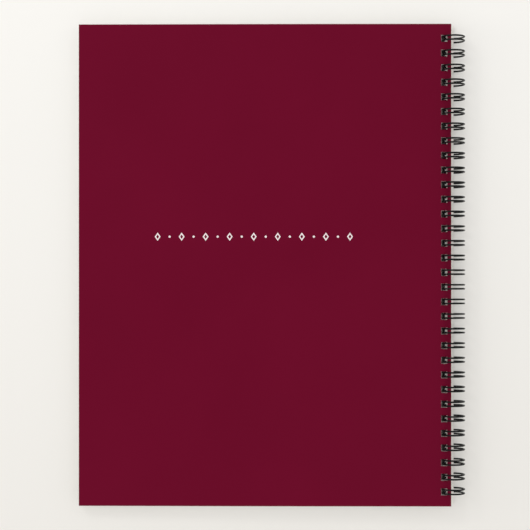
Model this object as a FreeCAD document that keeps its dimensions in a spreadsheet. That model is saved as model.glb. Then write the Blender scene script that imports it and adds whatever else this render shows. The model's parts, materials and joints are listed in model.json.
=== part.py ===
import FreeCAD, Part
import math
import os

import Sketcher

# A wire-bound journal lying closed and face up: two laminated card covers and a block of punched
# sheets, all turning on one black wire comb whose loops are closed into rings along the right edge.
#
# Frame: X runs across the cover with the wire at +X, Y runs up the page, Z is up. The origin is the
# middle of the closed journal's footprint, on the surface that it lies on.
#
# Seen along +Y the rings are circles about one axis. A leaf (a cover or a sheet) is a flat plate
# whose holes hang on the left of the rings, and it turns about that axis. Places on a leaf are
# given from the axis as "along", towards the spine edge, and "up", square to the leaf.

# ---------------------------------------------------------------- driving dimensions (mm, degrees)

DIMENSIONS = [
    ("leaf_width", 215.9, "width of a cover or a sheet, 8.5 in"),
    ("leaf_length", 279.4, "height of a cover or a sheet, 11 in"),
    ("sheet_thick", 0.11, "one sheet of paper"),
    ("board_thick", 0.45, "card of one cover"),
    ("film_thick", 0.04, "laminate on the outer face of a cover"),
    ("leaf_gap", 0.01, "air between neighbouring leaves"),
    ("sheet_count", 50, "sheets in the block"),
    ("hole_width", 3.5, "punched hole, across the page"),
    ("hole_length", 4.0, "punched hole, up the page"),
    ("hole_inset", 4.05, "centre of a hole to the spine edge of the leaf"),
    ("hole_pitch", round(25.4 / 3, 4), "three holes to the inch"),
    ("hole_count", 32, "holes in a leaf, and loops of wire"),
    ("wire_diameter", 1.0, "coated wire"),
    ("ring_radius", 6.4, "centre line of a closed loop"),
    ("twin_spacing", 2.33, "between the two wires of one loop, centre to centre"),
    ("corner_radius", 1.2, "bend from a loop's leg into the back of the comb"),
    ("seam_angle", 22.5, "from the end of a loop's legs on round to their start"),
    ("stub_length", 1.0, "cut end of the wire past its last corner"),
    ("back_depth", 5.65, "rings' axis down to the underside of the back cover"),
    ("seam_gap", 1.2, "between the back cover and the last sheet, at the spine"),
    ("rest_gap", 0.02, "between the back cover and the last sheet, at the fore-edge"),
    ("front_play", 0.55, "centre of a front cover hole to the right of the wire"),
    ("sheet_play", 0.8, "centre of a sheet's hole to the right of the wire"),
    ("back_play", 0.23, "centre of a back cover hole to the right of the wire"),
]


def make_sizes(document):
    """The spreadsheet of driving dimensions, one aliased cell for each."""
    sheet = document.addObject("Spreadsheet::Sheet", "sizes")
    for row, (name, value, meaning) in enumerate(DIMENSIONS, start=1):
        sheet.set(f"A{row}", name)
        sheet.set(f"B{row}", str(value))
        sheet.set(f"C{row}", meaning)
        sheet.setAlias(f"B{row}", name)
    document.recompute()
    return sheet


doc = FreeCAD.newDocument("prayer_journal")
sizes = make_sizes(doc)


def size(name):
    """A driving dimension as a plain number."""
    return float(sizes.get(name))


Y_AXIS = FreeCAD.Vector(0, 1, 0)
RING_RADIUS = size("ring_radius")
WIRE_RADIUS = size("wire_diameter") / 2
RING_OUTER = RING_RADIUS + WIRE_RADIUS
COVER_THICK = size("board_thick") + size("film_thick")
SHEET_STEP = size("sheet_thick") + size("leaf_gap")
SHEETS = int(size("sheet_count"))
LOOPS = int(size("hole_count"))
LOOP_CENTRES = [(loop - (LOOPS - 1) / 2) * size("hole_pitch") for loop in range(LOOPS)]


# ---------------------------------------------------------------- how the leaves lie on the rings


def wire_along(up):
    """Where the rings cross a leaf at this height, on their left side."""
    return -math.sqrt(RING_RADIUS**2 - up**2)


def spine_edge(up, play):
    """The spine edge of a leaf whose holes stand this far to the right of the wire."""
    return wire_along(up) + play + size("hole_inset")


def back_cover_tilt():
    """The back cover's slope: its fore-edge rests on the surface, and its holes on the rings."""
    depth = size("back_depth")
    reach = size("leaf_width") - spine_edge(COVER_THICK / 2 - depth, size("back_play"))
    return math.asin(RING_OUTER / math.hypot(reach, depth)) - math.atan2(depth, reach)


def block_tilt():
    """The slope of the block and front cover, which close on the back cover at the fore-edge."""
    return BACK_TILT + math.asin((size("seam_gap") - size("rest_gap")) / size("leaf_width"))


def block_bottom():
    """The underside of the last sheet: the seam gap above the back cover's top spine corner."""
    top = COVER_THICK - size("back_depth")
    along = spine_edge(COVER_THICK / 2 - size("back_depth"), size("back_play"))
    turn = BLOCK_TILT - BACK_TILT
    return top * math.cos(turn) - along * math.sin(turn) + size("seam_gap")


BACK_TILT = back_cover_tilt()
BLOCK_TILT = block_tilt()
BLOCK_BOTTOM = block_bottom()
FRONT_BOTTOM = BLOCK_BOTTOM + SHEETS * SHEET_STEP


def axis_position():
    """The middle of the rings: they stand on the surface, and together with the front cover they
    are centred in X."""
    middle = FRONT_BOTTOM + COVER_THICK / 2
    along = spine_edge(middle, size("front_play")) - size("leaf_width")
    top = FRONT_BOTTOM + COVER_THICK
    left = along * math.cos(BLOCK_TILT) - top * math.sin(BLOCK_TILT)
    return FreeCAD.Vector(-(left + RING_OUTER) / 2, 0, RING_OUTER)


AXIS = axis_position()


def lay(leaf, tilt, up, middle, play):
    """Put a leaf on the rings: its underside at this height, its fore-edge sloping down.

    middle is the height at which its holes are set out from the wire."""
    along = wire_along(middle) + play
    slope = FreeCAD.Rotation(Y_AXIS, -math.degrees(tilt))
    leaf.Placement = FreeCAD.Placement(AXIS + slope.multVec(FreeCAD.Vector(along, 0, up)), slope)


# ---------------------------------------------------------------- leaves


def flat_sketch(body, name):
    """A sketch on the XY plane of a body."""
    plane = next(part for part in body.Origin.OriginFeatures if part.Role == "XY_Plane")
    sketch = body.newObject("Sketcher::SketchObject", name)
    sketch.AttachmentSupport = (plane, [""])
    sketch.MapMode = "FlatFace"
    return sketch


def draw_rectangle(sketch, width, length, right, below):
    """A rectangle in a sketch. Each size is an expression: its width and its length, and how far
    it reaches to the right of the sketch's origin and below it."""
    corners = [FreeCAD.Vector(x, y) for x, y in ((-9, -9), (9, -9), (9, 9), (-9, 9))]
    for side in range(4):
        sketch.addGeometry(Part.LineSegment(corners[side], corners[(side + 1) % 4]))
    for side in range(4):
        sketch.addConstraint(Sketcher.Constraint("Coincident", side, 2, (side + 1) % 4, 1))
        sketch.addConstraint(Sketcher.Constraint("Vertical" if side % 2 else "Horizontal", side))
    driven = [
        ("width", width, ("DistanceX", 0, 1, 0, 2)),
        ("length", length, ("DistanceY", 1, 1, 1, 2)),
        ("right", right, ("DistanceX", -1, 1, 1, 1)),
        ("below", below, ("DistanceY", 0, 1, -1, 1)),
    ]
    for name, expression, ends in driven:
        index = sketch.addConstraint(Sketcher.Constraint(*ends, 9.0))
        sketch.renameConstraint(index, name)
        sketch.setExpression(f"Constraints.{name}", expression)


def make_leaf(label, thickness):
    """A flat leaf with its row of holes centred on the body's Y axis."""
    body = doc.addObject("PartDesign::Body", label)
    body.Label = label

    outline = flat_sketch(body, f"{label}_outline")
    draw_rectangle(
        outline, "sizes.leaf_width", "sizes.leaf_length", "sizes.hole_inset", "sizes.leaf_length / 2"
    )
    plate = body.newObject("PartDesign::Pad", f"{label}_plate")
    plate.Profile = outline
    plate.setExpression("Length", f"sizes.{thickness}")

    first_hole = flat_sketch(body, f"{label}_hole")
    row_length = "(sizes.hole_count - 1) * sizes.hole_pitch"
    half_row = f"({row_length} + sizes.hole_length) / 2"
    draw_rectangle(
        first_hole, "sizes.hole_width", "sizes.hole_length", "sizes.hole_width / 2", half_row
    )
    punch = body.newObject("PartDesign::Pocket", f"{label}_punch")
    punch.Profile = first_hole
    punch.Type = "ThroughAll"
    punch.Reversed = True

    row = body.newObject("PartDesign::LinearPattern", f"{label}_row")
    row.Originals = [punch]
    row.Direction = (first_hole, ["V_Axis"])
    row.setExpression("Length", row_length)
    row.setExpression("Occurrences", "sizes.hole_count")
    body.Tip = row
    return body


def make_back_cover():
    """The back cover: its film faces the surface, and its card lies on the film."""
    film_bottom = -size("back_depth")
    middle = film_bottom + COVER_THICK / 2
    film = make_leaf("back_cover_film", "film_thick")
    lay(film, BACK_TILT, film_bottom, middle, size("back_play"))
    board = make_leaf("back_cover_board", "board_thick")
    lay(board, BACK_TILT, film_bottom + size("film_thick"), middle, size("back_play"))
    return [board, film]


def make_front_cover():
    """The front cover: its card lies on the first sheet, under its film."""
    middle = FRONT_BOTTOM + COVER_THICK / 2
    board = make_leaf("front_cover_board", "board_thick")
    lay(board, BLOCK_TILT, FRONT_BOTTOM, middle, size("front_play"))
    film = make_leaf("front_cover_film", "film_thick")
    lay(film, BLOCK_TILT, FRONT_BOTTOM + size("board_thick"), middle, size("front_play"))
    return [board, film]


def make_sheets():
    """The block of sheets, numbered from the front cover down."""
    sheets = []
    for number in range(1, SHEETS + 1):
        sheet = make_leaf(f"sheet_{number:02d}", "sheet_thick")
        up = BLOCK_BOTTOM + (SHEETS - number) * SHEET_STEP
        lay(sheet, BLOCK_TILT, up, up + size("sheet_thick") / 2, size("sheet_play"))
        sheets.append(sheet)
    return sheets


# ---------------------------------------------------------------- wire

# Angles on a ring run from +X up through +Z. The wire is one length: from the back of the comb it
# turns into a leg, goes round under the stack, up the right and over the top, down through the
# leaves to the loop's tip, and back beside itself. The back of the comb and the tips meet in the
# gap between the last sheet and the back cover.


def leg_start():
    """The angle at which the legs leave the back of the comb, which lies midway in the gap."""
    depth = (size("back_depth") - COVER_THICK - BLOCK_BOTTOM) / 2
    bend = size("corner_radius")
    drop = math.asin(depth / math.hypot(RING_RADIUS, bend))
    return math.pi + drop + math.atan2(bend, RING_RADIUS) + (BACK_TILT + BLOCK_TILT) / 2


LEG_START = leg_start()
LEG_END = LEG_START + 2 * math.pi - math.radians(size("seam_angle"))


def ring_point(angle, across):
    """A point on a ring's centre line."""
    return AXIS + FreeCAD.Vector(math.cos(angle), 0, math.sin(angle)) * RING_RADIUS + Y_AXIS * across


def ring_heading(angle):
    """The direction of travel round a ring."""
    return FreeCAD.Vector(-math.sin(angle), 0, math.cos(angle))


def arc(start, middle, end):
    return Part.Arc(start, middle, end).toShape()


def line(start, end):
    return Part.LineSegment(start, end).toShape()


def leg_corner(across, side):
    """The corner between the back of the comb and a leg, from the back to the leg. The back lies
    on this side of the leg, -1 or 1 along Y."""
    bend = size("corner_radius")
    leg = ring_point(LEG_START, across)
    centre = leg + Y_AXIS * side * bend
    towards_back = ring_heading(LEG_START) * -bend
    diagonal = (towards_back - Y_AXIS * side * bend) * math.sqrt(0.5)
    return [centre + towards_back, centre + diagonal, leg]


def loop_edges(centre):
    """One loop of the comb, from the corner below it in Y to the corner above it."""
    half = size("twin_spacing") / 2
    low, high = centre - half, centre + half
    top = (LEG_START + LEG_END) / 2
    tip = ring_point(LEG_END, centre) + ring_heading(LEG_END) * half
    return [
        arc(*leg_corner(low, -1)),
        arc(ring_point(LEG_START, low), ring_point(top, low), ring_point(LEG_END, low)),
        arc(ring_point(LEG_END, low), tip, ring_point(LEG_END, high)),
        arc(ring_point(LEG_END, high), ring_point(top, high), ring_point(LEG_START, high)),
        arc(*reversed(leg_corner(high, 1))),
    ]


def comb_path():
    """The centre line of the whole wire, from one cut end to the other."""
    half = size("twin_spacing") / 2
    stub = Y_AXIS * size("stub_length")
    last = leg_corner(LOOP_CENTRES[0] - half, -1)[0] - stub
    edges = []
    for centre in LOOP_CENTRES:
        edges.append(line(last, leg_corner(centre - half, -1)[0]))
        edges += loop_edges(centre)
        last = leg_corner(centre + half, 1)[0]
    edges.append(line(last, last + stub))
    return Part.Wire(edges)


def make_wire_spine():
    """The wire comb: a round section swept along its centre line."""
    path = doc.addObject("Part::Feature", "comb_path")
    path.Shape = comb_path()
    section = doc.addObject("Part::Circle", "wire_section")
    section.setExpression("Radius", "sizes.wire_diameter / 2")
    start = path.Shape.Edges[0].Vertexes[0].Point
    section.Placement = FreeCAD.Placement(start, FreeCAD.Rotation(FreeCAD.Vector(0, 0, 1), Y_AXIS))
    spine = doc.addObject("Part::Sweep", "wire_spine")
    spine.Label = "wire_spine"
    spine.Sections = [section]
    spine.Spine = (path, [f"Edge{number + 1}" for number in range(len(path.Shape.Edges))])
    spine.Solid = True
    return spine, path


# ---------------------------------------------------------------- checks and files


def check(parts):
    """Stop if a feature failed, or a sub-part's shape is missing, broken or more than one solid."""
    for item in doc.Objects:
        if "Invalid" in item.State or "Error" in item.State:
            raise RuntimeError(f"{item.Label} failed: {item.State}")
    for part in parts:
        if part.Shape.isNull() or not part.Shape.isValid() or len(part.Shape.Solids) != 1:
            raise RuntimeError(f"{part.Label} is not one valid solid")


def check_volume(part, expected):
    """Stop if a sub-part's volume isn't the one that its dimensions give."""
    if abs(part.Shape.Volume - expected) > 0.001 * expected:
        raise RuntimeError(f"{part.Label} has volume {part.Shape.Volume:.1f}, not {expected:.1f}")


def main():
    covers = make_back_cover() + make_front_cover()
    sheets = make_sheets()
    spine, path = make_wire_spine()
    doc.recompute()

    parts = covers + sheets + [spine]
    check(parts)
    holes = size("hole_count") * size("hole_width") * size("hole_length")
    face = size("leaf_width") * size("leaf_length") - holes
    for leaf in covers + sheets:
        thickness = "sheet_thick" if leaf in sheets else leaf.Label.split("_")[-1] + "_thick"
        check_volume(leaf, face * size(thickness))
    check_volume(spine, math.pi * WIRE_RADIUS**2 * path.Shape.Length)

    os.makedirs("parts", exist_ok=True)
    for part in parts:
        part.Shape.exportStep(f"parts/{part.Label}.step")
    print(f"{len(parts)} parts, rings' axis at x {AXIS.x:.4f}, z {AXIS.z:.4f}")
    print(f"tilts {math.degrees(BACK_TILT):.4f} and {math.degrees(BLOCK_TILT):.4f} degrees")
    print(f"wire legs from {math.degrees(LEG_START):.2f} to {math.degrees(LEG_END) - 360:.2f} degrees")


main()
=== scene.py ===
import json
import math
import random

import bpy
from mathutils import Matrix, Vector


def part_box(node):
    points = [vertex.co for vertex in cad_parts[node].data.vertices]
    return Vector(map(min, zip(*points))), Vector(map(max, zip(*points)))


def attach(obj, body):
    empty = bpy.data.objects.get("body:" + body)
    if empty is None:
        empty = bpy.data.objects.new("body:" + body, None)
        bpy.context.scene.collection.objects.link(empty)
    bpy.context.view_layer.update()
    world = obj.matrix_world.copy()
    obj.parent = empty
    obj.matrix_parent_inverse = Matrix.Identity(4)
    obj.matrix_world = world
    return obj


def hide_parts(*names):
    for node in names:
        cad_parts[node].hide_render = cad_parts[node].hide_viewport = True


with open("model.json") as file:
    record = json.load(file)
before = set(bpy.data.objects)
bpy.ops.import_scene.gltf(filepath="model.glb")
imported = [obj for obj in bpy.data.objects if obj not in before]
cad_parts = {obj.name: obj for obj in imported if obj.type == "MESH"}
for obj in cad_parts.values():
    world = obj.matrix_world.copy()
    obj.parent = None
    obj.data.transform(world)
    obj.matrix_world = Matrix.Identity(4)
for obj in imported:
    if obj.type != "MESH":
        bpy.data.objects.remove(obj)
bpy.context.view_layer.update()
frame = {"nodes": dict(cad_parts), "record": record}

# The looks of a wire-bound journal that lies closed and face up. Every length is in metres.

MM = 0.001

# ---------------------------------------------------------------- sizes taken from the frame

wire_low, wire_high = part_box("wire_spine")
RING_OUTER = (wire_high.z - wire_low.z) / 2
AXIS = Vector((wire_high.x - RING_OUTER, 0, wire_low.z + RING_OUTER))

# ---------------------------------------------------------------- sizes that the frame doesn't state

WIRE_RADIUS = 0.5 * MM
TWIN_SPACING = 2.33 * MM
CORNER_RADIUS = 1.2 * MM
STUB_LENGTH = 1.0 * MM
SEAM_ANGLE = math.radians(22.5)
LEG_START = math.radians(235.6)
HOLE_PITCH = 25.4 * MM / 3
HOLE_WIDTH = 3.5 * MM
HOLE_LENGTH = 4.0 * MM
HOLE_INSET = 4.05 * MM
HOLE_COUNT = 32
SHEET_COUNT = 50
RING_RADIUS = RING_OUTER - WIRE_RADIUS
HOLE_CENTRES = [(hole - (HOLE_COUNT - 1) / 2) * HOLE_PITCH for hole in range(HOLE_COUNT)]

Y_AXIS = Vector((0, 1, 0))


# ---------------------------------------------------------------- material helpers


def add_node(tree, kind, **inputs):
    """A shader node with these input values. An input's underscores stand for spaces."""
    made = tree.nodes.new(kind)
    for name, value in inputs.items():
        made.inputs[name.replace("_", " ")].default_value = value
    return made


def new_material(name):
    """A node material: its tree, its Principled shader and the object's own coordinates."""
    material = bpy.data.materials.new(name)
    material.use_nodes = True
    tree = material.node_tree
    shader = tree.nodes["Principled BSDF"]
    place = tree.nodes.new("ShaderNodeTexCoord").outputs["Object"]
    return material, tree, shader, place


def stretched(tree, place, scale):
    """Coordinates scaled by axis."""
    mapping = tree.nodes.new("ShaderNodeMapping")
    mapping.inputs["Scale"].default_value = scale
    tree.links.new(place, mapping.inputs["Vector"])
    return mapping.outputs["Vector"]


def noise(tree, place, scale, detail=3.0, roughness=0.55):
    """Noise of about this many bumps to the metre, from 0 to 1."""
    made = add_node(
        tree, "ShaderNodeTexNoise", Scale=scale, Detail=detail, Roughness=roughness
    )
    tree.links.new(place, made.inputs["Vector"])
    return made.outputs["Fac"]


def remap(tree, value, low, high, to_low=0.0, to_high=1.0):
    """A value moved from one range to another, and kept inside it."""
    made = tree.nodes.new("ShaderNodeMapRange")
    for name, number in zip(("From Min", "From Max", "To Min", "To Max"), (low, high, to_low, to_high)):
        made.inputs[name].default_value = number
    tree.links.new(value, made.inputs["Value"])
    return made.outputs["Result"]


def arithmetic(tree, operation, first, second=None):
    """One Math node. Each operand is a socket or a number, and an operation may take only one."""
    made = tree.nodes.new("ShaderNodeMath")
    made.operation = operation
    for socket, operand in zip(made.inputs, (first, second)):
        if isinstance(operand, (int, float)):
            socket.default_value = operand
        elif operand is not None:
            tree.links.new(operand, socket)
    return made.outputs["Value"]


def mixed(tree, amount, first, second):
    """A mix of two colours. Each is a socket or three numbers."""
    made = tree.nodes.new("ShaderNodeMix")
    made.data_type = "RGBA"
    tree.links.new(amount, made.inputs["Factor"])
    for socket, colour in ((made.inputs[6], first), (made.inputs[7], second)):
        if isinstance(colour, tuple):
            socket.default_value = (*colour, 1.0)
        else:
            tree.links.new(colour, socket)
    return made.outputs[2]


def bump(tree, shader, height, distance, strength=1.0):
    """Relief of this depth in metres where height goes from 0 to 1."""
    made = add_node(tree, "ShaderNodeBump", Strength=strength, Distance=distance)
    tree.links.new(height, made.inputs["Height"])
    tree.links.new(made.outputs["Normal"], shader.inputs["Normal"])


# ---------------------------------------------------------------- materials

RIM_WEAR = 0.2
BURGUNDY = (0.131, 0.0011, 0.0184)
BURGUNDY_DEEP = (0.125, 0.0009, 0.0172)
CARD_WHITE = (0.90, 0.885, 0.86)
CARD_SHADE = (0.80, 0.78, 0.74)
PAPER_WHITE = (0.90, 0.885, 0.85)
PAPER_SHADE = (0.85, 0.835, 0.795)
RULE_BLUE = (0.30, 0.40, 0.54)
EDGE_PALE = (0.91, 0.895, 0.865)
EDGE_SHADE = (0.70, 0.68, 0.64)
NYLON_BLACK = (0.0035, 0.0035, 0.0037)
NYLON_SCUFFED = (0.009, 0.009, 0.0095)
PRINT_WHITE = (0.90, 0.84, 0.855)
PRINT_THIN = (0.70, 0.60, 0.615)


def film_material():
    """Burgundy print under a satin laminate: an even colour, faint handling marks in the gloss, and
    the laminate's fine texture. Along the cut edges the print is rubbed a little paler."""
    material, tree, shader, place = new_material("burgundy_laminate")
    drift = remap(tree, noise(tree, place, 14.0), 0.35, 0.65)
    printed = mixed(tree, drift, BURGUNDY_DEEP, BURGUNDY)
    rim = tree.nodes.new("ShaderNodeAttribute")
    rim.attribute_name = "rim"
    nicks = remap(tree, noise(tree, place, 900.0, 4.0), 0.42, 0.68)
    rubbed = arithmetic(tree, "MULTIPLY", rim.outputs["Fac"], nicks)
    worn = mixed(tree, arithmetic(tree, "MULTIPLY", rubbed, RIM_WEAR), printed, CARD_WHITE)
    tree.links.new(worn, shader.inputs["Base Color"])
    smudges = remap(tree, noise(tree, place, 22.0, 5.0, 0.6), 0.35, 0.7, 0.39, 0.44)
    grain = noise(tree, place, 2600.0, 2.0)
    rough = arithmetic(tree, "ADD", smudges, arithmetic(tree, "MULTIPLY", grain, 0.08))
    tree.links.new(rough, shader.inputs["Roughness"])
    shader.inputs["Specular IOR Level"].default_value = 0.06
    bump(tree, shader, grain, 0.004 * MM, 0.6)
    return material


def card_material():
    """The uncoated side and the cut core of the cover card: white, with short fibres."""
    material, tree, shader, place = new_material("cover_card")
    fibres = noise(tree, stretched(tree, place, (1.0, 0.35, 6.0)), 1400.0, 5.0, 0.7)
    clouds = noise(tree, place, 30.0, 4.0)
    tone = arithmetic(tree, "ADD", fibres, arithmetic(tree, "MULTIPLY", clouds, 0.35))
    shade = remap(tree, tone, 0.45, 0.9)
    colour = mixed(tree, shade, CARD_SHADE, CARD_WHITE)
    tree.links.new(colour, shader.inputs["Base Color"])
    tree.links.new(remap(tree, fibres, 0.3, 0.7, 0.82, 0.95), shader.inputs["Roughness"])
    shader.inputs["Specular IOR Level"].default_value = 0.25
    bump(tree, shader, fibres, 0.02 * MM, 0.5)
    return material


RULE_PITCH = 7.1 * MM
RULE_WIDTH = 0.28 * MM
PAIR_SPACING = 2.2 * MM
FIRST_RULE = 114.0 * MM
LAST_RULE = -121.0 * MM
RULE_SIDE_MARGIN = 9.0 * MM


def rules(tree, place, low, high):
    """1 on the ruled lines of a page, and 0 elsewhere. They run along X between low and high, in
    pairs: one line of each pair on the rule's own place, and one above it."""
    split = tree.nodes.new("ShaderNodeSeparateXYZ")
    tree.links.new(place, split.inputs["Vector"])
    across, up = split.outputs["X"], split.outputs["Y"]
    first_pair = FIRST_RULE + PAIR_SPACING / 2
    pairs = arithmetic(tree, "DIVIDE", arithmetic(tree, "SUBTRACT", up, first_pair), RULE_PITCH)
    from_pair = arithmetic(tree, "PINGPONG", pairs, 0.5)
    to_line = arithmetic(tree, "SUBTRACT", from_pair, PAIR_SPACING / RULE_PITCH / 2)
    off = arithmetic(tree, "ABSOLUTE", to_line)
    ink = arithmetic(tree, "LESS_THAN", off, RULE_WIDTH / RULE_PITCH / 2)
    for value, operation, limit in (
        (up, "LESS_THAN", FIRST_RULE + RULE_PITCH / 2),
        (up, "GREATER_THAN", LAST_RULE),
        (across, "GREATER_THAN", low),
        (across, "LESS_THAN", high),
    ):
        ink = arithmetic(tree, "MULTIPLY", ink, arithmetic(tree, operation, value, limit))
    return ink


def ruled_width():
    """Where a page's rules start and end in X. They stop short of the holes."""
    low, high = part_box("sheet_25")
    holes = high.x - HOLE_INSET - HOLE_WIDTH / 2
    return low.x + RULE_SIDE_MARGIN, holes - RULE_SIDE_MARGIN / 2


def page_material(low, high):
    """Writing paper, ruled on both sides, with a faint cloudy formation and tooth."""
    material, tree, shader, place = new_material("ruled_page")
    clouds = remap(tree, noise(tree, place, 45.0, 6.0, 0.65), 0.3, 0.7)
    paper = mixed(tree, clouds, PAPER_SHADE, PAPER_WHITE)
    fade = remap(tree, noise(tree, place, 700.0, 3.0), 0.3, 0.6, 0.55, 0.9)
    ink = arithmetic(tree, "MULTIPLY", rules(tree, place, low, high), fade)
    tree.links.new(mixed(tree, ink, paper, RULE_BLUE), shader.inputs["Base Color"])
    tooth = noise(tree, place, 3200.0, 3.0, 0.7)
    tree.links.new(remap(tree, tooth, 0.3, 0.7, 0.84, 0.95), shader.inputs["Roughness"])
    shader.inputs["Specular IOR Level"].default_value = 0.2
    bump(tree, shader, tooth, 0.012 * MM, 0.5)
    return material


def page_edge_material():
    """The cut edges of the sheets: each sheet a slightly different tone, with knife drag marks."""
    material, tree, shader, place = new_material("page_edges")
    layers = noise(tree, stretched(tree, place, (0.01, 0.01, 1.0)), 9000.0, 1.0)
    drag = noise(tree, stretched(tree, place, (1.0, 1.0, 0.05)), 260.0, 4.0)
    tone = arithmetic(tree, "ADD", layers, arithmetic(tree, "MULTIPLY", drag, 0.35))
    shade = remap(tree, tone, 0.45, 0.9)
    colour = mixed(tree, shade, EDGE_SHADE, EDGE_PALE)
    tree.links.new(colour, shader.inputs["Base Color"])
    tree.links.new(remap(tree, layers, 0.3, 0.7, 0.8, 0.95), shader.inputs["Roughness"])
    shader.inputs["Specular IOR Level"].default_value = 0.15
    bump(tree, shader, layers, 0.02 * MM, 0.6)
    return material


def wire_material():
    """Steel wire under glossy black nylon, with the coating's slight waviness and light scuffs."""
    material, tree, shader, place = new_material("black_nylon_wire")
    scuffs = remap(tree, noise(tree, place, 1800.0, 5.0, 0.65), 0.55, 0.75)
    colour = mixed(tree, scuffs, NYLON_BLACK, NYLON_SCUFFED)
    tree.links.new(colour, shader.inputs["Base Color"])
    tree.links.new(remap(tree, scuffs, 0.0, 1.0, 0.16, 0.32), shader.inputs["Roughness"])
    shader.inputs["Specular IOR Level"].default_value = 0.13
    bump(tree, shader, noise(tree, place, 1100.0, 2.0), 0.012 * MM, 0.35)
    return material


def ornament_material():
    """The pale printed ornament, a little thin in places so that the cover's red shows through."""
    material, tree, shader, place = new_material("pale_print")
    thin = remap(tree, noise(tree, place, 1600.0, 4.0, 0.6), 0.35, 0.62)
    colour = mixed(tree, thin, PRINT_THIN, PRINT_WHITE)
    tree.links.new(colour, shader.inputs["Base Color"])
    tree.links.new(remap(tree, thin, 0.0, 1.0, 0.42, 0.55), shader.inputs["Roughness"])
    shader.inputs["Specular IOR Level"].default_value = 0.22
    return material


# The two table colours are the ends of a painted shade: the table is painted darker towards the bottom
# of the page in place of the light's falloff.
PAINTED_FALLOFF_REACH = 0.17
TABLE_GLOW = 0.39
TABLE_LOW_PAINTED_SHADE = (0.572, 0.561, 0.541)
TABLE_HIGH_PAINTED_LIGHT = (0.634, 0.628, 0.613)
TABLE_MOTTLE = (0.56, 0.55, 0.53)


def floor_material():
    """A plain pale table for product shots, lit softly from beneath so that shadows on it stay
    light. Its colour is painted a little darker and warmer towards the bottom of the page, as painted
    shade that stands in for the light's falloff, and it is faintly mottled."""
    material, tree, shader, place = new_material("pale_floor")
    split = tree.nodes.new("ShaderNodeSeparateXYZ")
    tree.links.new(place, split.inputs["Vector"])
    # Painted shade: the colour darkens towards the bottom of the page, standing in for the light's
    # falloff.
    painted_falloff = remap(tree, split.outputs["Y"], -PAINTED_FALLOFF_REACH, PAINTED_FALLOFF_REACH)
    colour = mixed(tree, painted_falloff, TABLE_LOW_PAINTED_SHADE, TABLE_HIGH_PAINTED_LIGHT)
    mottle = remap(tree, noise(tree, place, 5.0, 3.0), 0.3, 0.7, 0.0, 0.1)
    mottled = mixed(tree, mottle, colour, TABLE_MOTTLE)
    tree.links.new(mottled, shader.inputs["Base Color"])
    tree.links.new(mottled, shader.inputs["Emission Color"])
    shader.inputs["Emission Strength"].default_value = TABLE_GLOW
    shader.inputs["Roughness"].default_value = 0.9
    shader.inputs["Specular IOR Level"].default_value = 0.1
    return material


# ---------------------------------------------------------------- where the leaves lie


class Leaf:
    """Where a CAD leaf lies at rest: the middle of its underside's spine edge, the direction from
    its fore-edge to its spine, its upward normal, and its size."""

    def __init__(self, node):
        points = [vertex.co for vertex in frame["nodes"][node].data.vertices]
        low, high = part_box(node)
        fore = min((p for p in points if p.x < low.x + MM), key=lambda p: (round(p.z, 6), p.y))
        spine = min((p for p in points if p.x > high.x - MM), key=lambda p: (round(p.z, 6), p.y))
        top = max((p for p in points if p.x > high.x - MM), key=lambda p: (round(p.z, 6), -p.y))
        along = Vector((spine.x - fore.x, 0, spine.z - fore.z))
        self.width = along.length
        self.length = high.y - low.y
        self.along = along.normalized()
        self.normal = self.along.cross(Y_AXIS)
        self.edge = Vector((spine.x, (low.y + high.y) / 2, spine.z))
        self.thickness = (top - spine).dot(self.normal)

    def point(self, from_fore, across, up):
        """The point this far from the fore-edge, up the page from its middle, and up from its
        underside."""
        along = self.along * (from_fore - self.width)
        return self.edge + along + Y_AXIS * across + self.normal * up


# ---------------------------------------------------------------- the lie of the leaves

COVER_DIVISIONS = 36
SHEET_DIVISIONS = 12
BOW = 0.5 * MM
BOW_VARIES = 0.35
HALF_WAVES = 2.2
WAVE_START = 0.6
TOP_SHEET_SHARE = 0.45


def lift(leaf, from_fore, across):
    """How far the full bow of a handled leaf lifts it from flat at this point. The bow varies in a
    wave up the page. It dies out at the spine, and at the fore-edge, where an opened cover meets
    the table."""
    arch = math.sin(math.pi * from_fore / leaf.width) ** 2
    wave = math.sin(across / leaf.length * HALF_WAVES * math.pi + WAVE_START)
    return BOW * arch * (1 + BOW_VARIES * wave)


# ---------------------------------------------------------------- leaves as meshes

RIM = 0.3 * MM


def lines_across(leaf, divisions):
    """Grid lines from the fore-edge to the spine, with one on each side of the holes."""
    hole = leaf.width - HOLE_INSET
    inner = hole - HOLE_WIDTH / 2
    lines = [0.0, RIM]
    lines += [inner * step / divisions for step in range(1, divisions + 1)]
    return lines + [hole + HOLE_WIDTH / 2, leaf.width - RIM, leaf.width]


def lines_along(leaf):
    """Grid lines up the page, with one on each side of every hole and one between holes."""
    half = leaf.length / 2
    lines = [-half, -half + RIM]
    for hole in HOLE_CENTRES:
        lines += [hole - HOLE_PITCH / 2, hole - HOLE_LENGTH / 2, hole + HOLE_LENGTH / 2]
    return lines + [HOLE_CENTRES[-1] + HOLE_PITCH / 2, half - RIM, half]


def nearest(lines, value):
    """The index of the grid line nearest to a value."""
    return min(range(len(lines)), key=lambda index: abs(lines[index] - value))


def punched_cells(across, along, width):
    """The grid's cells, as (column, row), without those that are holes."""
    column = nearest(across, width - HOLE_INSET - HOLE_WIDTH / 2)
    rows = {nearest(along, hole - HOLE_LENGTH / 2) for hole in HOLE_CENTRES}
    return {
        (i, j)
        for i in range(len(across) - 1)
        for j in range(len(along) - 1)
        if not (i == column and j in rows)
    }


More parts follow.
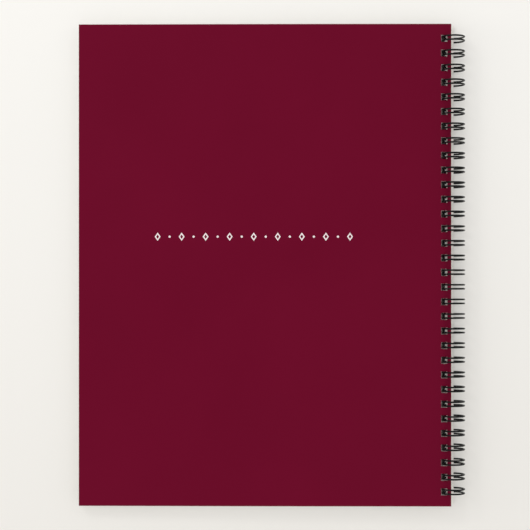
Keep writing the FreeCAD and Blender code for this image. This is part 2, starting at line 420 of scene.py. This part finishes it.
def leaf_faces(cells, rows):
    """The faces of a punched plate, as (corners, side), where side is top, bottom or edge. Its top
    points come first, column by column, and then its bottom points. rows counts a column's points."""
    point_columns = max(i for i, _ in cells) + 2
    below = point_columns * rows
    faces = []
    for i, j in sorted(cells):
        ring = [(i, j), (i + 1, j), (i + 1, j + 1), (i, j + 1)]
        top = [column * rows + row for column, row in ring]
        faces.append((top, "top"))
        faces.append(([corner + below for corner in reversed(top)], "bottom"))
        neighbours = [(i, j - 1), (i + 1, j), (i, j + 1), (i - 1, j)]
        for side, neighbour in enumerate(neighbours):
            if neighbour not in cells:
                start, end = top[side], top[(side + 1) % 4]
                faces.append(([start, start + below, end + below, end], "edge"))
    return faces


def leaf_points(leaf, across, along, share, shift):
    """The points of a leaf, its top side first, and for each one how near it is to the leaf's own
    edge: 1 on the edge, and 0 from RIM inwards."""
    points, rims = [], []
    for up in (leaf.thickness, 0.0):
        for x in across:
            for y in along:
                stand = up + share * lift(leaf, x, y)
                points.append(leaf.point(x + shift[0], y + shift[1], stand))
                border = min(x, leaf.width - x, leaf.length / 2 - abs(y))
                rims.append(max(0.0, 1 - border / RIM))
    return points, rims


def make_leaf(name, node, divisions, share, slots, shift=(0.0, 0.0)):
    """A punched leaf in place of a CAD one, bowed by this share of the full bow and shifted in its
    holes. slots gives the materials for its top, bottom and edge."""
    leaf = Leaf(node)
    across, along = lines_across(leaf, divisions), lines_along(leaf)
    points, rims = leaf_points(leaf, across, along, share, shift)
    faces = leaf_faces(punched_cells(across, along, leaf.width), len(along))
    sides = list(slots)
    mesh = bpy.data.meshes.new(name)
    mesh.from_pydata(points, [], [corners for corners, _ in faces])
    for material in slots.values():
        mesh.materials.append(material)
    mesh.polygons.foreach_set("material_index", [sides.index(side) for _, side in faces])
    rim = mesh.attributes.new("rim", "FLOAT", "POINT")
    rim.data.foreach_set("value", rims)
    mesh.update()
    piece = bpy.data.objects.new(name, mesh)
    bpy.context.scene.collection.objects.link(piece)
    return piece


def dress(piece, body, node):
    """Let a piece stand for its CAD node and ride on the node's body."""
    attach(piece, body)
    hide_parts(node)


def make_covers(film, card):
    """Both covers, each a white-cored card with a burgundy laminate on its outer face."""
    for body, outer, share in (("front_cover", "top", 1.0), ("back_cover", "bottom", 0.0)):
        board_slots = {"top": card, "bottom": card, "edge": card}
        board = make_leaf(f"{body}_card", f"{body}_board", COVER_DIVISIONS, share, board_slots)
        dress(board, body, f"{body}_board")
        inner = "bottom" if outer == "top" else "top"
        film_slots = {outer: film, inner: card, "edge": film}
        laminate = make_leaf(
            f"{body}_laminate", f"{body}_film", COVER_DIVISIONS, share, film_slots
        )
        dress(laminate, body, f"{body}_film")


def body_of(node):
    """The name of the body that a CAD node belongs to."""
    bodies = frame["record"]["behaviour"]["bodies"]
    return next(body for body, nodes in bodies.items() if node in nodes)


SHEET_SHIFT = 0.06 * MM


def make_sheets(page, edge):
    """The block of sheets, each a hair out of line with the next, and bowed less the lower it lies."""
    chance = random.Random(7)
    for number in range(1, SHEET_COUNT + 1):
        node = f"sheet_{number:02d}"
        share = TOP_SHEET_SHARE * (SHEET_COUNT - number) / SHEET_COUNT
        shift = [chance.uniform(-SHEET_SHIFT, SHEET_SHIFT) for _ in range(2)]
        slots = {"top": page, "bottom": page, "edge": edge}
        piece = make_leaf(f"page_leaf_{number:02d}", node, SHEET_DIVISIONS, share, slots, shift)
        dress(piece, body_of(node), node)


# ---------------------------------------------------------------- wire

RING_STEPS = 48
BEND_STEPS = 8
CORNER_STEPS = 4
WIRE_ROUNDNESS = 6
SHARP_EDGE = math.radians(50)
LEG_END = LEG_START + 2 * math.pi - SEAM_ANGLE

# The wire's play along the holes. A loop's drift and lean add up to less than all of it, so that a
# turned leaf, which hangs at the loop's right side, stays clear of the wire.
HOLE_PLAY = (HOLE_LENGTH - TWIN_SPACING) / 2 - WIRE_RADIUS
HOLE_OFFSET = 0.58 * HOLE_PLAY
LEAN = 0.22 * HOLE_PLAY
LEAN_VARIES = 0.06 * HOLE_PLAY


def ring_point(angle, across, lean=0.0):
    """A point on a loop's centre line. Angles run from +X up through +Z. Each loop drifts a hair up
    the page in its holes, and leans from its left side to its right. Both die out at the bottom,
    where the comb fits the back cover's holes closely."""
    outward = Vector((math.cos(angle), 0, math.sin(angle)))
    height = (1 + outward.z) / 2
    drift = height * (HOLE_OFFSET + lean * (1 + outward.x) / 2)
    return AXIS + outward * RING_RADIUS + Y_AXIS * (across + drift)


def heading(angle):
    """The direction of travel round a loop at this angle."""
    return Vector((-math.sin(angle), 0, math.cos(angle)))


def corner_points(across, side, lean):
    """The corner between the back of the comb, on this side of a leg, and the leg."""
    leg = ring_point(LEG_START, across, lean)
    centre = leg + Y_AXIS * side * CORNER_RADIUS
    points = []
    for step in range(CORNER_STEPS):
        turn = math.pi / 2 * step / CORNER_STEPS
        back = heading(LEG_START) * -math.cos(turn) - Y_AXIS * side * math.sin(turn)
        points.append(centre + back * CORNER_RADIUS)
    return points


def loop_points(middle, lean):
    """One double loop: up from the back of the comb, round to the tip, and round again."""
    half = TWIN_SPACING / 2
    angles = [LEG_START + (LEG_END - LEG_START) * step / RING_STEPS for step in range(RING_STEPS + 1)]
    points = corner_points(middle - half, -1, lean)
    points += [ring_point(angle, middle - half, lean) for angle in angles]
    tip = ring_point(LEG_END, middle, lean)
    for step in range(1, BEND_STEPS):
        turn = math.pi * step / BEND_STEPS
        sideways = Y_AXIS * -math.cos(turn) + heading(LEG_END) * math.sin(turn)
        points.append(tip + sideways * half)
    points += [ring_point(angle, middle + half, lean) for angle in reversed(angles)]
    return points + corner_points(middle + half, 1, lean)[::-1]


def wire_points():
    """The whole wire's centre line, one length from cut end to cut end."""
    chance = random.Random(3)
    points = []
    for middle in HOLE_CENTRES:
        lean = LEAN + chance.uniform(-LEAN_VARIES, LEAN_VARIES)
        points += loop_points(middle, lean)
    start = points[0] - Y_AXIS * STUB_LENGTH
    end = points[-1] + Y_AXIS * STUB_LENGTH
    return [start, *points, end]


def wire_mesh(points):
    """A round wire along these points, as a mesh."""
    curve = bpy.data.curves.new("wire_path", "CURVE")
    curve.dimensions = "3D"
    curve.bevel_depth = WIRE_RADIUS
    curve.bevel_resolution = WIRE_ROUNDNESS
    curve.use_fill_caps = True
    spline = curve.splines.new("POLY")
    spline.points.add(len(points) - 1)
    for target, point in zip(spline.points, points):
        target.co = (*point, 1.0)
    path = bpy.data.objects.new("wire_path", curve)
    bpy.context.scene.collection.objects.link(path)
    mesh = bpy.data.meshes.new_from_object(path.evaluated_get(bpy.context.evaluated_depsgraph_get()))
    bpy.data.objects.remove(path)
    mesh.name = "twin_loop_wire"
    mesh.shade_smooth()
    mesh.set_sharp_from_angle(angle=SHARP_EDGE)
    return mesh


def make_wire(material):
    """The wire comb with the rounder bends of a real one, in place of the CAD's wire."""
    mesh = wire_mesh(wire_points())
    mesh.materials.clear()
    mesh.materials.append(material)
    wire = bpy.data.objects.new("twin_loop_wire", mesh)
    bpy.context.scene.collection.objects.link(wire)
    dress(wire, "wire_spine", "wire_spine")


# ---------------------------------------------------------------- the printed ornament

ORNAMENT_LEFT_OF_MIDDLE = 6.4 * MM
ORNAMENT_ABOVE_MIDDLE = 16.5 * MM
ORNAMENT_WIDTH = 111.5 * MM
LOZENGE_HEIGHT = 4.8 * MM
LOZENGE_WIDTH = 3.4 * MM
LOZENGE_STROKE = 0.8 * MM
LOZENGES = 9
DOT_RADIUS = 0.65 * MM
DOT_SIDES = 20
PRINT_THICK = 0.006 * MM


def lozenge(middle):
    """An open lozenge as four strokes: the corners of its outer and inner outlines."""
    shrink = 1 - 2 * LOZENGE_STROKE / LOZENGE_WIDTH
    outlines = []
    for share in (1.0, shrink):
        half_wide, half_high = share * LOZENGE_WIDTH / 2, share * LOZENGE_HEIGHT / 2
        outlines.append([(half_wide, 0), (0, half_high), (-half_wide, 0), (0, -half_high)])
    outer, inner = [[(middle + x, y) for x, y in outline] for outline in outlines]
    return [[outer[k], outer[(k + 1) % 4], inner[(k + 1) % 4], inner[k]] for k in range(4)]


def dot(middle):
    """A round dot, in the form that lozenge gives."""
    turns = [2 * math.pi * side / DOT_SIDES for side in range(DOT_SIDES)]
    return [[(middle + DOT_RADIUS * math.cos(t), DOT_RADIUS * math.sin(t)) for t in turns]]


def ornament_shapes():
    """The outlines of a row of open lozenges with a dot between each two."""
    spacing = ORNAMENT_WIDTH / (LOZENGES - 1)
    shapes = []
    for k in range(LOZENGES):
        middle = (k - (LOZENGES - 1) / 2) * spacing
        shapes += lozenge(middle)
        if k < LOZENGES - 1:
            shapes += dot(middle + spacing / 2)
    return shapes


def ornament_point(leaf, x, y, up):
    """The point of a leaf's bowed face this far right of the ornament's middle, up the page from it
    and above the face."""
    from_fore = leaf.width / 2 - ORNAMENT_LEFT_OF_MIDDLE + x
    across = ORNAMENT_ABOVE_MIDDLE + y
    return leaf.point(from_fore, across, leaf.thickness + lift(leaf, from_fore, across) + up)


def print_faces(first, count):
    """The face and the sides of one printed shape. Its upper outline starts at point first, and its
    lower one follows."""
    faces = [[first + k for k in range(count)]]
    for k in range(count):
        start, end = first + k, first + (k + 1) % count
        faces.append([start, start + count, end + count, end])
    return faces


def make_ornament(material):
    """The ornament as a thin layer of print that follows the front cover's bow."""
    leaf = Leaf("front_cover_film")
    points, faces = [], []
    for shape in ornament_shapes():
        faces += print_faces(len(points), len(shape))
        for up in (PRINT_THICK, 0.0):
            points += [ornament_point(leaf, x, y, up) for x, y in shape]
    mesh = bpy.data.meshes.new("cover_ornament")
    mesh.from_pydata(points, [], faces)
    mesh.materials.append(material)
    piece = bpy.data.objects.new("cover_ornament", mesh)
    bpy.context.scene.collection.objects.link(piece)
    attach(piece, "front_cover")


# ---------------------------------------------------------------- floor, light and camera

FLOOR_SIZE = 8.0
STUDIO_WHITE = (1.0, 0.99, 0.965)
WALLS_FORE_EDGE_SIDE = (0.90, 0.888, 0.865)
WALLS_SPINE_SIDE = (1.19, 1.175, 1.145)
CEILING = (0.42, 0.415, 0.405)
CEILING_STARTS = 0.80
CEILING_FULL = 0.96
SKY_STRENGTH = 1.10
CAMERA_HEIGHT = 0.870
FIELD_WIDTH = 307.2 * MM
EYE_RIGHT_OF_MIDDLE = 0.13 * MM
EYE_ABOVE_MIDDLE = 0.08 * MM
SENSOR = 36.0


def make_floor():
    """One flat square at table height."""
    half = FLOOR_SIZE / 2
    mesh = bpy.data.meshes.new("floor")
    corners = [(-half, -half, 0), (half, -half, 0), (half, half, 0), (-half, half, 0)]
    mesh.from_pydata(corners, [], [(0, 1, 2, 3)])
    mesh.materials.append(floor_material())
    floor = bpy.data.objects.new("floor", mesh)
    bpy.context.scene.collection.objects.link(floor)


def make_area_light(name, place, width, watts):
    """A round soft light that faces the middle of the table."""
    light = bpy.data.lights.new(name, "AREA")
    light.shape = "DISK"
    light.size = width
    light.energy = watts
    light.color = STUDIO_WHITE
    lamp = bpy.data.objects.new(name, light)
    lamp.location = place
    lamp.rotation_mode = "QUATERNION"
    lamp.rotation_quaternion = (-Vector(place)).to_track_quat("-Z", "Y")
    bpy.context.scene.collection.objects.link(lamp)


def make_world():
    """Nearly even light from all round, a little stronger from the spine's side. The ceiling is dim
    straight overhead, so that a flat cover doesn't mirror a bright sky."""
    world = bpy.data.worlds.new("studio")
    world.use_nodes = True
    bpy.context.scene.world = world
    tree = world.node_tree
    place = tree.nodes.new("ShaderNodeTexCoord").outputs["Generated"]
    split = tree.nodes.new("ShaderNodeSeparateXYZ")
    tree.links.new(place, split.inputs["Vector"])
    side = remap(tree, split.outputs["X"], -1.0, 1.0)
    walls = mixed(tree, side, WALLS_FORE_EDGE_SIDE, WALLS_SPINE_SIDE)
    overhead = remap(tree, split.outputs["Z"], CEILING_STARTS, CEILING_FULL)
    colour = mixed(tree, overhead, walls, CEILING)
    background = tree.nodes["Background"]
    tree.links.new(colour, background.inputs["Color"])
    background.inputs["Strength"].default_value = SKY_STRENGTH


def make_lights():
    """The studio's even light, a key from the upper left, and a low one that glints in the wires."""
    make_world()
    make_area_light("key", (-0.95, 1.0, 1.0), width=0.35, watts=3.6)
    make_area_light("low_left", (-1.5, 0.1, 0.40), width=0.60, watts=3.4)


def make_camera():
    """Straight above the middle of the front cover, with the top of the page upwards."""
    cover = Leaf("front_cover_film")
    middle = cover.point(cover.width / 2, 0, cover.thickness)
    camera = bpy.data.cameras.new("camera")
    camera.sensor_width = SENSOR
    camera.lens = SENSOR * CAMERA_HEIGHT / FIELD_WIDTH
    camera.clip_start = 0.01
    eye = bpy.data.objects.new("camera", camera)
    offset = Vector((EYE_RIGHT_OF_MIDDLE, EYE_ABOVE_MIDDLE, CAMERA_HEIGHT))
    eye.location = middle + offset
    bpy.context.scene.collection.objects.link(eye)
    bpy.context.scene.camera = eye
    bpy.context.scene.view_settings.view_transform = "Standard"
    bpy.context.scene.view_settings.look = "None"


# ---------------------------------------------------------------- the whole scene


make_camera()
make_lights()
make_floor()

make_covers(film_material(), card_material())
make_sheets(page_material(*ruled_width()), page_edge_material())
make_wire(wire_material())
make_ornament(ornament_material())
